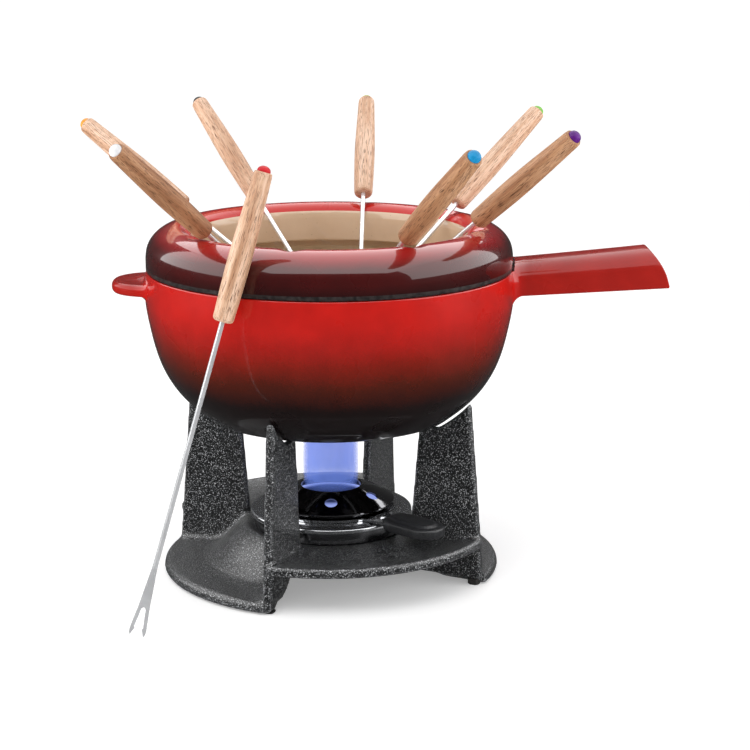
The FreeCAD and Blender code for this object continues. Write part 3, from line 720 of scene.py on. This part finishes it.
def pot_handle():
    """Half pipe that flares into the belly, cut back at its far end along a soft curve."""
    edge = 1.1
    reaches = [-2.2, -0.3, 0.0, 0.3, 0.8, 1.5, 2.4, 3.4, 4.1, 4.6, 5.3, 6.0, 7.0, 8.2, 9.6,
               11.2, 13.0]
    reaches += list(np.linspace(16.0, HANDLE_LENGTH - edge, 24))
    turns = [math.radians(a) for a in (18, 36, 54, 72, 90)]
    stations = [(reach, 0.0) for reach in reaches]
    stations += [(HANDLE_LENGTH - edge * (1 - math.sin(t)), edge * (1 - math.cos(t)))
                 for t in turns]
    rings = []
    for reach, inset in stations:
        outer, inner = handle_section(reach)
        y, z = loop_beside(np.concatenate([outer, inner[-2:0:-1]]), inset).T
        root_x = np.sqrt(belly_radius(np.minimum(z, POT_BELLY[-1][1])) ** 2 - y ** 2)
        up = np.clip((z - 186.0) / 24.0, -0.3, 1.05)
        end_x = HANDLE_FOOT_END_X - 3.0 * up - 9.6 * up * np.abs(up)
        x = root_x + (end_x - root_x) * reach / HANDLE_LENGTH
        rings.append(np.stack([x, y, z], 1))
    return lofted("pot_handle", rings)


def pot_ear():
    """Flat lug opposite the handle, with round edges and a flare into the belly."""
    side = [(EAR_TIP_X, 0.0), (EAR_TIP_X + 2.6, 13.0), (EAR_TIP_X + 10.0, 21.6),
            (EAR_TIP_X + 17.0, 25.2), (EAR_TIP_X + 24.0, 28.5), (EAR_TIP_X + 30.0, 34.0)]
    rim = spline([(x, -y) for x, y in side[:0:-1]] + side, 96)
    middle = sum(EAR_Z) / 2
    thick = (EAR_Z[1] - EAR_Z[0]) / 2
    edge = 3.3
    deepest = 6.5                      # further in, the flat faces only get narrower
    belly_r = 116.9
    turns = np.linspace(0.0, math.pi, 17)
    insets = [edge * (1 - math.sin(t) ** 0.9) for t in turns]
    lifts = [thick * math.copysign(abs(math.cos(t)) ** 0.8, math.cos(t)) for t in turns]
    rings = []
    for shift, lift in zip([30.0, 12.0, deepest] + insets + [deepest, 12.0, 30.0],
                           [thick] * 3 + lifts + [-thick] * 3):
        plan = beside(rim, -min(shift, deepest))
        if shift > deepest:
            plan = plan * (1.0, deepest / shift)
        away = np.maximum(np.linalg.norm(plan, axis=1) - belly_r, 0.0)
        near = np.maximum(EAR_FILLET - away, 0.0)
        flare = EAR_FILLET - np.sqrt(EAR_FILLET ** 2 - near ** 2)
        z = middle + lift + np.sign(lift) * flare * min(1.0, abs(lift) / 2.0)
        rings.append(np.stack([plan[:, 0], plan[:, 1], z], 1))
    return lofted("pot_ear", rings)


def make_pot():
    body = combined(pot_skin(), pot_handle(), "UNION")
    body = combined(body, pot_ear(), "UNION")
    body = combined(body, pot_space(), "DIFFERENCE")
    low, high = POT_RIM_Z + 0.05, POT_RIM_Z + 12.0
    near, far = 100.0, RING_R + 1.2
    clearance = Outline().run([(near, low), (far, low), (far, high), (near, high)])
    body = combined(body, turned("clearance", clearance), "DIFFERENCE")
    piece("pot_enamelled", body, "pot", [RED_ENAMEL, BEIGE_POT_PAINTED_LIGHT, BLACK_EDGE],
          ["pot_casting", "pot_handle"])


# ---- fork-rest ring -------------------------------------------------------------------------
def make_ring():
    shoulder = spline([(RING_R, 205.0), (114.9, 211.8), (110.8, 218.3), (104.3, 222.8),
                       (97.0, 224.5), (90.9, 223.0), (87.2, 219.6), (RING_LIP_R, RING_LIP_Z)],
                      56)
    under = beside(shoulder, RING_WALL)
    lip_foot_z = 199.5
    skirt_r = 108.2
    outline = Outline()
    outline.run(rounded([(RING_SEAT_R, RING_Z, 0), (RING_R, RING_Z, 1.1),
                         (RING_R, RING_SEAM_Z[0], 0)]), 2)
    outline.run([(RING_R, RING_SEAM_Z[1])])
    outline.run(shoulder[:-6])
    outline.run(shoulder[-6:], 1)
    outline.run(rounded([(RING_LIP_R, RING_LIP_Z, 0), (RING_LIP_R + 1.2, lip_foot_z, 1.6),
                         (RING_LIP_R + 3.9, lip_foot_z, 1.2),
                         (RING_LIP_R + RING_WALL, RING_LIP_Z - 1.0, 0)]), 1)
    outline.run(under[-4:3:-1], 1)
    outline.run(rounded([(RING_R - RING_WALL - 0.6, 206.0, 0), (skirt_r, 203.0, 1.5),
                         (skirt_r, RING_SKIRT_Z, 0.8), (RING_SEAT_R, RING_SKIRT_Z, 0.8),
                         (RING_SEAT_R, RING_Z, 0)]), 1)
    mesh = turned("ring", outline, 384)
    cut_notches(mesh)
    piece("fork_ring_enamelled", mesh, "ring", [BURGUNDY_ENAMEL, BEIGE_RING, BLACK_EDGE],
          ["fork_rest_ring"])


def cut_notches(mesh):
    """Presses each notch's round floor into the ring's crest, with soft edges."""
    slope = math.radians(NOTCH_SLOPE)
    pitch = 360.0 / NOTCHES
    soft = 0.35
    crest_z, crest_r = 214.0, 106.0
    for vertex in mesh.vertices:
        x, y, z = (part / MM for part in vertex.co)
        r = math.hypot(x, y)
        if z < crest_z or r > crest_r:
            continue
        turn = (math.degrees(math.atan2(y, x)) - NOTCH_AZIMUTH) % pitch
        turn = min(turn, pitch - turn)
        beside_it = r * math.sin(math.radians(turn))
        if beside_it > NOTCH_RADIUS * 0.9:
            continue
        lift = NOTCH_RADIUS - math.sqrt(NOTCH_RADIUS ** 2 - beside_it ** 2)
        floor_z = NOTCH_FLOOR[1] + (r - NOTCH_FLOOR[0]) * math.tan(slope) + lift
        gap = z - floor_z
        if gap > -2.0:
            vertex.co.z -= MM * soft * math.log1p(math.exp(gap / soft))
    mesh.update()


# ---- stand ----------------------------------------------------------------------------------
def make_stand():
    """The casting again with sand-cast corners: outer edges rounded by wear, inner ones filled.

    The first rounds smooth every corner, and the later ones only fill the hollow ones.
    """
    voxel, rounds, wearing = 1.15 * MM, 34, 5
    source = frame["nodes"]["stand_casting"].data.copy()
    mesh = worked(source, "REMESH", mode="VOXEL", voxel_size=voxel)
    points = np.zeros(len(mesh.vertices) * 3)
    mesh.vertices.foreach_get("co", points)
    points = points.reshape(-1, 3)
    ends = np.zeros(len(mesh.edges) * 2, int)
    mesh.edges.foreach_get("vertices", ends)
    first, second = ends.reshape(-1, 2).T
    degree = np.bincount(np.concatenate([first, second]), minlength=len(points))[:, None]
    low, high = (np.array(corner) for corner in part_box("stand_casting"))
    for step in range(rounds):
        near = np.zeros_like(points)
        for axis in range(3):
            near[:, axis] = (np.bincount(first, points[second, axis], len(points))
                             + np.bincount(second, points[first, axis], len(points)))
        pull = near / degree - points
        mesh.vertices.foreach_set("co", points.ravel())
        mesh.update()
        normals = np.zeros(len(points) * 3)
        mesh.vertices.foreach_get("normal", normals)
        hollow = (pull * normals.reshape(-1, 3)).sum(1)[:, None]
        share = 0.5 if step < wearing else np.where(hollow > 1e-6, 0.5, 0.0)
        points = np.clip(points + pull * share, low, high)
    mesh.vertices.foreach_set("co", points.ravel())
    mesh.update()
    piece("stand_cast", mesh, "stand", [CAST_IRON], ["stand_casting"], 60.0)


# ---- burner ---------------------------------------------------------------------------------
def make_cup():
    low, high = CUP_Z
    outline = Outline()
    outline.run(rounded([(0, low, 0), (CUP_R, low, 1.8), (CUP_R, high, 0.3),
                         (CUP_R - SHEET, high, 0.3), (CUP_R - SHEET, low + SHEET, 1.0),
                         (0, low + SHEET, 0)]))
    piece("burner_cup", turned("cup", outline, ROUND), "burner", [DARK_METAL],
          ["burner_base"])


def make_saucer():
    rim_z = CUP_Z[1]
    hole_r = MOUTH_R + 8.0
    outline = Outline()
    outline.run(rounded([(hole_r, SAUCER_TOP_Z - SHEET, 0), (43.0, SAUCER_TOP_Z - SHEET, 4.0),
                         (48.2, rim_z, 2.0), (CUP_R + 0.2, rim_z, 0.1),
                         (CUP_R + 0.2, rim_z - 1.6, 0.1), (SAUCER_R, rim_z - 1.6, 0.6),
                         (SAUCER_R, rim_z + 1.3, 1.4), (49.0, rim_z + 1.7, 3.0),
                         (46.0, rim_z + 2.3, 2.0), (43.0, SAUCER_TOP_Z, 3.0),
                         (hole_r, SAUCER_TOP_Z, 0)]))
    piece("burner_saucer", turned("saucer", outline, ROUND), "burner", [SATIN_METAL],
          ["burner_plate"])


def make_dome():
    shoulder = spline([(DOME_R, DOME_Z + SHEET), (37.0, 46.8), (30.5, 50.0), (24.5, 52.6),
                       (MOUTH_R + 1.4, MOUTH_Z)], 28)
    under = beside(shoulder, SHEET)
    outline = Outline()
    outline.run(shoulder)
    outline.run(rounded([(MOUTH_R + 1.4, MOUTH_Z, 0), (MOUTH_R + 0.6, MOUTH_Z + 0.3, 0.5),
                         (MOUTH_R - 0.2, MOUTH_Z - 0.2, 0.4), (MOUTH_R - 0.2, 50.6, 0.2),
                         (MOUTH_R + 0.8, 50.6, 0.1), (*under[-1], 0)]))
    outline.run(under[::-1])
    outline.run([(DOME_R - 0.3, DOME_Z + 0.05), (DOME_R, DOME_Z + 0.5)])
    dome = turned("dome", outline, ROUND)
    collar = Outline().run([(COLLAR_R - SHEET, SAUCER_TOP_Z), (COLLAR_R, SAUCER_TOP_Z),
                            (COLLAR_R, COLLAR_TOP_Z), (COLLAR_R - SHEET, COLLAR_TOP_Z + 0.2)])
    dome = combined(dome, turned("collar", collar, ROUND), "UNION")
    sunk_r, deep = DOME_HOLE_R + 1.4, 7.0
    drill = Outline().run([(0, -deep), (DOME_HOLE_R, -deep), (DOME_HOLE_R, 0.1),
                           (sunk_r, 1.5), (sunk_r, deep), (0, deep)])
    drill = turned("drill", drill, 48)
    for index in range(DOME_HOLES):
        azimuth = math.radians(-90.0 + index * 360.0 / DOME_HOLES)
        place = (Matrix.Rotation(azimuth, 4, "Z")
                 @ Matrix.Translation((DOME_HOLE_AT[0] * MM, 0, (DOME_HOLE_AT[1] + 0.5) * MM))
                 @ Matrix.Rotation(math.radians(DOME_HOLE_TILT), 4, "Y"))
        dome = combined(dome, moved(drill, place), "DIFFERENCE")
    piece("burner_dome_plated", dome, "burner", [BLACK_CHROME],
          ["burner_dome"], 30.0)


def grip_loop(inset):
    """Plan of the grip: near-parallel sides, a round end and a narrow start."""
    half = GRIP_WIDTH / 2 - inset
    start = GRIP_START_R + inset * 0.6
    middle = GRIP_START_R + GRIP_LENGTH - GRIP_WIDTH / 2
    side = rounded([(start, 0, 0), (start, half * 0.62, 1.5), (start + 9.0, half, 6.0),
                    (middle, half, 0)])
    turn = [(middle + half * math.sin(t), half * math.cos(t))
            for t in np.linspace(0.0, math.pi / 2, 16)]
    line = resampled(side[:-1] + turn, 40)
    return np.concatenate([line, line[-2:0:-1] * (1.0, -1.0)])


def make_grip():
    steps = [(2.5, 0.0), (0.8, 0.0), (0.2, 0.25), (0.0, 0.9), (0.0, 4.5), (0.25, 5.2),
             (0.8, 5.75), (1.6, 6.0), (3.6, 6.0), (4.1, 6.1), (4.5, 6.4), (5.6, 7.45),
             (6.1, 7.7), (6.8, 7.8), (9.0, 7.8)]
    rings = []
    for inset, rise in steps:
        plan = grip_loop(inset)
        rings.append(np.stack([plan[:, 0], plan[:, 1],
                               np.full(len(plan), GRIP_Z + rise)], 1))
    grip = lofted("grip", rings)
    grip.transform(Matrix.Rotation(math.radians(ARM_AZIMUTH), 4, "Z"))
    piece("regulator_paddle", grip, "regulator", [GRIP], ["regulator_grip"])


def make_flame():
    """Gas column from the mouth to the pot, and the glow under the dome."""
    top = 101.9
    foot = 51.0
    wall = spline([(16.8, foot), (17.6, 58.0), (17.9, 80.0), (17.4, top)], 24)
    column = Outline().run([(0, foot)]).run(wall).run([(0, top)])
    flame = piece("flame", turned("flame", column, 96), "burner", [flame_gas()])
    flame.visible_glossy = False
    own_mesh(flame)
    bed = Outline().run([(0, 42.0), (33.0, 42.0), (33.4, 44.0), (27.0, 46.6), (18.0, 47.4),
                         (0, 47.4)])
    piece("flame_bed", turned("bed", bed, 96), "burner", [flame_root()])


# ---- forks ----------------------------------------------------------------------------------
def fork_rod():
    """Rod with its flat head: two tines with barbs on their inner sides."""
    head_top = HEAD_LENGTH - ROD_REACH
    seat_z = 21.0
    shaft = Outline().run([(0, head_top - 2.4)])
    shaft.run([(ROD_R * 0.6, head_top - 2.2), (ROD_R, head_top - 1.2)])
    shaft.run([(ROD_R, z) for z in np.linspace(head_top, seat_z, 12)]).run([(0, seat_z)])
    right = spline([(1.45, 2.0), (1.7, -3.0), (2.5, -13.0), (3.3, -24.0), (4.3, -33.0),
                    (5.0, -39.5)], 18)
    barb = [(4.8, -41.2), (4.1, -HEAD_LENGTH), (3.4, -41.2), (2.3, -38.6), (2.8, -37.9)]
    gap = spline([(2.8, -37.9), (2.2, -33.5), (1.6, -28.5), (1.0, -25.8), (0.0, -25.0)], 12)
    half = [tuple(p) for p in right] + barb + [tuple(p) for p in gap[1:]]
    plan = half + [(-x, z) for x, z in half[-2::-1]]
    rings = []
    for inset, y in ((0.14, -0.9), (0.0, -0.76), (0.0, 0.76), (0.14, 0.9)):
        x, z = loop_beside(plan, -inset).T
        rings.append(np.stack([x, np.full(len(x), y), z + head_top], 1))
    return combined(turned("rod", shaft, 32), lofted("head", rings), "UNION")


def fork_handle():
    """Turned grip with a hole for the rod, a pocket for the cap and a thin core between."""
    bore = 20.0
    shoulder = FORK_HANDLE - 3.0
    pocket = FORK_HANDLE - CAP_SEAT
    outline = Outline()
    outline.run(rounded([(ROD_R + 0.02, bore, 0), (ROD_R + 0.02, 0.0, 0.2), (4.8, 0.0, 0.5),
                         (5.9, 0.9, 0.9), (6.2, 2.2, 0)]))
    outline.run(spline([(6.2, 2.2), (6.75, 22.0), (6.9, 42.0), (6.3, 65.0), (5.6, shoulder)], 40))
    outline.run(rounded([(5.6, shoulder, 0), (5.35, FORK_HANDLE - 0.6, 1.0),
                         (4.6, FORK_HANDLE, 0.4), (CAP_R + 0.02, FORK_HANDLE, 0.1),
                         (CAP_R + 0.02, pocket, 0)]))
    outline.run([(0.8, pocket), (0.8, bore)])
    return turned("handle", outline, 64)


def fork_cap():
    low = FORK_HANDLE - CAP_SEAT + 0.1
    outline = Outline().run([(0, low), (CAP_R, low), (CAP_R, FORK_HANDLE + 0.35)])
    outline.run([(CAP_R * math.cos(t), FORK_HANDLE + 0.4 + 3.2 * math.sin(t))
                 for t in np.linspace(0.0, math.pi / 2, 14)])
    return turned("cap", outline, 48)


def fork_place(colour):
    """Matrix from a fork's own frame to where the CAD fork is."""
    joint = next(j for j in frame["joints"] if j["name"] == f"fork_{colour}_draw")
    along = Vector(joint["axis"]).normalized()
    across = Vector((0, 0, 1)).cross(along).normalized()
    if colour == "red":                # its tines lie flat towards the front
        across = along.cross(Vector((0, -1, 0))).normalized()
    third = along.cross(across)
    corners = [v.co for v in frame["nodes"][f"fork_handle_{colour}"].data.vertices]
    depth = min(co.dot(along) for co in corners)
    face = [co for co in corners if co.dot(along) < depth + 0.02 * MM]
    foot = along * depth
    for axis in (across, third):
        reach = [co.dot(axis) for co in face]
        foot += axis * (min(reach) + max(reach)) / 2
    turn = Matrix((across, third, along)).transposed()
    return Matrix.Translation(foot) @ turn.to_4x4()


def make_forks():
    rod, handle, cap = fork_rod(), fork_handle(), fork_cap()
    for number, colour in enumerate(COLOURS):
        body = f"fork_{colour}"
        board = Vector((0.31, 0.17, 0.53)) * (number + 1)
        place = fork_place(colour)
        # The forks that lean towards the camera get the darker beech: painted shade on their
        # shaded side.
        wood = SHADED_BEECH if colour in SHADED_FORKS else BEECH
        parts = (("rod", rod, STAINLESS, "fork_steel"), ("handle", handle, wood, "beech"),
                 ("cap", cap, cap_plastic(colour, CAP_RGB[colour]), f"cap_{colour}"))
        for kind, mesh, finish, slot in parts:
            fork_piece = mesh.copy()
            grain = fork_piece.attributes.new("grain", "FLOAT_VECTOR", "POINT")
            for vertex, spot in zip(fork_piece.vertices, grain.data):
                spot.vector = vertex.co + board
            fork_piece.transform(place)
            piece(f"fork_{colour}_{kind}", fork_piece, body, [finish],
                  [f"fork_{kind}_{colour}"], 32.0)


# ---- carried-over nodes ---------------------------------------------------------------------
def dress(node, material):
    thing = frame["nodes"][node]
    thing.data.materials.clear()
    thing.data.materials.append(material)


# ---- stage ----------------------------------------------------------------------------------
def softbox(name, place, aim, size, watts, fill=True, shine=True):
    """Rectangular lamp at a place in metres, turned to a point. It fills, or it only shines."""
    lamp = bpy.data.lights.new(name, "AREA")
    lamp.shape = "RECTANGLE"
    lamp.size, lamp.size_y = size
    lamp.energy = watts
    thing = bpy.data.objects.new(name, lamp)
    bpy.context.scene.collection.objects.link(thing)
    thing.location = place
    thing.rotation_euler = (Vector(aim) - Vector(place)).to_track_quat("-Z", "Y").to_euler()
    thing.visible_camera = False
    thing.visible_diffuse = fill
    thing.visible_glossy = shine


def make_stage():
    reach = 30.0
    floor_mesh = bpy.data.meshes.new("floor")
    corners = [(-reach, -reach, 0), (reach, -reach, 0), (reach, reach, 0), (-reach, reach, 0)]
    floor_mesh.from_pydata(corners, [], [(0, 1, 2, 3)])
    floor_mesh.materials.append(tabletop())
    floor = bpy.data.objects.new("floor", floor_mesh)
    floor.visible_glossy = False
    bpy.context.scene.collection.objects.link(floor)

    world = bpy.data.worlds.new("studio")
    world.use_nodes = True
    bpy.context.scene.world = world
    nodes, links = world.node_tree.nodes, world.node_tree.links
    backdrop = nodes["Background"]
    backdrop.inputs["Color"].default_value = (1.0, 1.0, 1.0, 1.0)
    ambient, in_gloss, more_to_camera = 0.80, 0.05, 0.30
    rays = nodes.new("ShaderNodeLightPath")
    dimmer = nodes.new("ShaderNodeMapRange")
    dimmer.inputs["To Min"].default_value = ambient
    dimmer.inputs["To Max"].default_value = in_gloss
    links.new(rays.outputs["Is Glossy Ray"], dimmer.inputs["Value"])
    seen = nodes.new("ShaderNodeMath")
    seen.operation = "MULTIPLY_ADD"
    seen.inputs[1].default_value = more_to_camera
    links.new(rays.outputs["Is Camera Ray"], seen.inputs[0])
    links.new(dimmer.outputs[0], seen.inputs[2])
    links.new(seen.outputs[0], backdrop.inputs["Strength"])

    aim = (0.0, 0.0, 0.15)
    softbox("key", (-0.45, -0.75, 1.20), aim, (0.90, 0.70), 4.6, shine=False)
    sides = (("left", -1.0), ("right", 1.0))
    for side, x in sides:
        softbox(f"{side}_fill", (x, -0.20, 0.25), aim, (0.60, 0.60), 5.0, shine=False)
    softbox("rim", (0.35, 1.10, 0.85), aim, (1.20, 0.50), 2.4, shine=False)
    softbox("overhead", (0.0, 0.16, 0.95), (0.0, 0.16, 0.0), (1.50, 2.28), 30.0, fill=False)
    for side, x in sides:
        softbox(f"{side}_panel", (1.05 * x, -0.10, 0.74), (0.0, -0.10, 0.60), (1.75, 0.92),
                13.0, fill=False)


def make_camera():
    """Eye level a little above the pot, 1.2 m in front of the set."""
    pitch, yaw = 13.4, -1.35
    camera = bpy.data.cameras.new("camera")
    camera.sensor_width = 36.0
    camera.lens = 93.6
    thing = bpy.data.objects.new("camera", camera)
    bpy.context.scene.collection.objects.link(thing)
    thing.location = (0.0, -1.220, 0.417)
    thing.rotation_euler = (math.radians(90.0 - pitch), 0.0, math.radians(yaw))
    bpy.context.scene.camera = thing


make_camera()
make_stage()
make_stand()
make_cup()
make_saucer()
make_dome()
make_grip()
make_flame()
make_pot()
make_ring()
make_forks()
dress("stand_glides", rubber())
dress("fuel_tin", TINPLATE)
dress("fuel_paste", fuel_gel())
dress("regulator_ring", BRIGHT_METAL)
bpy.context.scene.view_settings.view_transform = "Standard"
